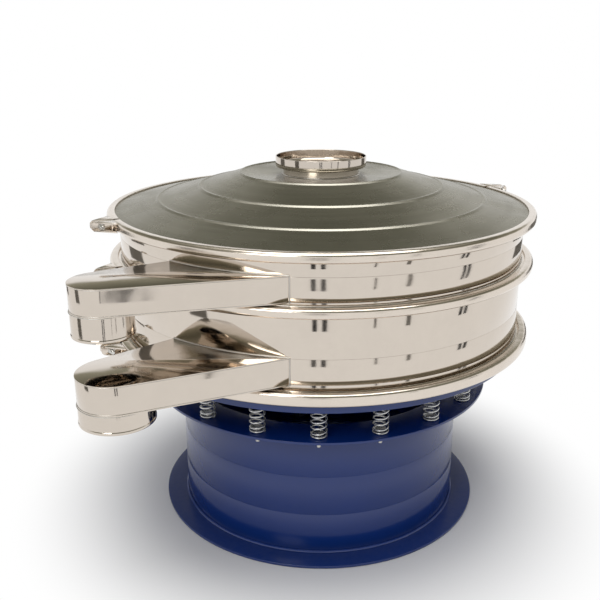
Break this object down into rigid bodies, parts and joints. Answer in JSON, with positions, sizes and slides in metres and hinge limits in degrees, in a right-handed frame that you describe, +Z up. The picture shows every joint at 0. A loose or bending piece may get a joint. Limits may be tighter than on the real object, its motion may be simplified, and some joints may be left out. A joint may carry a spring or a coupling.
{
  "type": "vibrating sieve",
  "caption": "Round vibrating screen on a blue drum base: sprung stainless frames, clamp rings, a coned lid with inlet and side outlet ducts.",
  "frame": {"origin": "on the sieve's vertical axis, at floor level: the centre of the foot flange's opening", "axes": "+Z up the axis towards the inlet; -Y is the front, the side the picture was taken from; +X is to the right seen from the front, and both outlets are at -X, -Y"},
  "size_m": [1.268, 1.413, 1.083],
  "materials": {
    "polished_stainless": "mirror polished",
    "brushed_stainless": "brushed in circles round the axis",
    "woven_mesh": "satin woven wire",
    "blue_paint": "gloss deep blue",
    "spring_steel": "bright zinc plate",
    "zinc_fastener": "bright zinc plate",
    "motor_iron": "satin dark grey paint",
    "shaft_steel": "ground",
    "seal_rubber": "matt pale silicone"
  },
  "bodies": {
    "base": {"foot_flange": "blue_paint", "base_drum": "blue_paint", "hatch_cover": "blue_paint", "spring_shelf": "blue_paint", "lower_spring_locators": "zinc_fastener", "springs": "spring_steel"},
    "sieve": {"table": "blue_paint", "upper_spring_locators": "zinc_fastener", "motor_housing": "motor_iron", "motor_bolts": "zinc_fastener", "lower_frame": "polished_stainless", "lower_frame_low_flange": "polished_stainless", "lower_frame_high_flange": "polished_stainless", "fines_floor": "brushed_stainless", "upper_frame": "polished_stainless", "upper_frame_low_flange": "polished_stainless", "upper_frame_high_flange": "polished_stainless", "screen_ring": "brushed_stainless", "screen_mesh": "woven_mesh", "bottom_seal": "seal_rubber", "lid_seal": "seal_rubber", "upper_duct": "polished_stainless", "upper_spout": "polished_stainless", "lower_duct": "polished_stainless", "lower_spout": "polished_stainless", "lid": "brushed_stainless", "inlet_neck": "polished_stainless"},
    "rotor": {"motor_shaft": "shaft_steel", "upper_weight": "motor_iron"},
    "phase_weight": {"lower_weight": "motor_iron"},
    "top_clamp_front": {"top_clamp_front": "polished_stainless", "top_closure_nuts": "zinc_fastener"},
    "top_clamp_rear": {"top_clamp_rear": "polished_stainless", "top_closure_bolts": "zinc_fastener"},
    "middle_clamp_front": {"middle_clamp_front": "polished_stainless", "middle_closure_nuts": "zinc_fastener"},
    "middle_clamp_rear": {"middle_clamp_rear": "polished_stainless", "middle_closure_bolts": "zinc_fastener"},
    "bottom_clamp_front": {"bottom_clamp_front": "polished_stainless", "bottom_closure_nuts": "zinc_fastener"},
    "bottom_clamp_rear": {"bottom_clamp_rear": "polished_stainless", "bottom_closure_bolts": "zinc_fastener"}
  },
  "joints": [
    {"name": "vibration", "type": "slide", "parent": "base", "child": "sieve", "axis": [0, 0, 1], "range_m": [-0.004, 0.004], "stiffness_N_per_m": 180000, "springref_m": 0.0219, "deforming": ["springs"]},
    {"name": "rotor_spin", "type": "hinge", "parent": "sieve", "child": "rotor", "pos_m": [0, 0, 0.426], "axis": [0, 0, 1], "continuous": true},
    {"name": "lower_weight_set", "type": "hinge", "parent": "rotor", "child": "phase_weight", "pos_m": [0, 0, 0.258], "axis": [0, 0, 1], "range_deg": [-35, 55]},
    {"name": "top_front_release", "type": "slide", "parent": "sieve", "child": "top_clamp_front", "axis": [0.4384, -0.8988, 0], "range_m": [0, 0.18]},
    {"name": "top_rear_release", "type": "slide", "parent": "sieve", "child": "top_clamp_rear", "axis": [-0.4384, 0.8988, 0], "range_m": [0, 0.18]},
    {"name": "middle_front_release", "type": "slide", "parent": "sieve", "child": "middle_clamp_front", "axis": [0.4384, -0.8988, 0], "range_m": [0, 0.18]},
    {"name": "middle_rear_release", "type": "slide", "parent": "sieve", "child": "middle_clamp_rear", "axis": [-0.4384, 0.8988, 0], "range_m": [0, 0.18]},
    {"name": "bottom_front_release", "type": "slide", "parent": "sieve", "child": "bottom_clamp_front", "axis": [0.4384, -0.8988, 0], "range_m": [0, 0.18]},
    {"name": "bottom_rear_release", "type": "slide", "parent": "sieve", "child": "bottom_clamp_rear", "axis": [-0.4384, 0.8988, 0], "range_m": [0, 0.18]}
  ]
}
